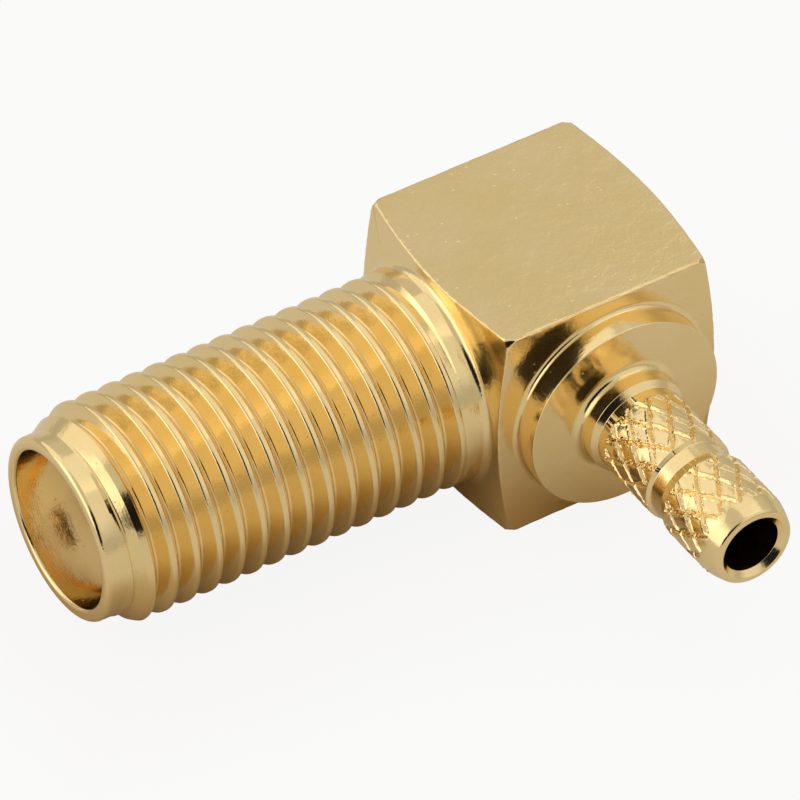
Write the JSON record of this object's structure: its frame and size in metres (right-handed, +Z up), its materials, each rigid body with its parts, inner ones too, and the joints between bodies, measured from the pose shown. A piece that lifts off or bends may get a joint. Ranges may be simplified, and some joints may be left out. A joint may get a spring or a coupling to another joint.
{
  "type": "right-angle coaxial jack",
  "caption": "Right-angle 50 ohm coaxial jack with a 1/4-36 threaded barrel, square block and knurled crimp stem, in gold-plated brass",
  "frame": {"origin": "on the threaded barrel's axis, in the reference plane where a mating plug's sleeve comes to rest, 1.93 mm inside the mouth", "axes": "+X along the threaded barrel from its mouth towards the block, -Y along the crimp stem, +Z up, square to both"},
  "size_m": [0.0191, 0.0142, 0.007],
  "materials": {
    "gold_plate": "polished",
    "contact_gold": "polished",
    "white_ptfe": "matte"
  },
  "bodies": {
    "root": {"housing": "gold_plate", "crimp_stem": "gold_plate", "rear_cap": "gold_plate", "centre_contact": "contact_gold", "front_insulator": "white_ptfe", "rear_insulator": "white_ptfe"}
  },
  "joints": []
}
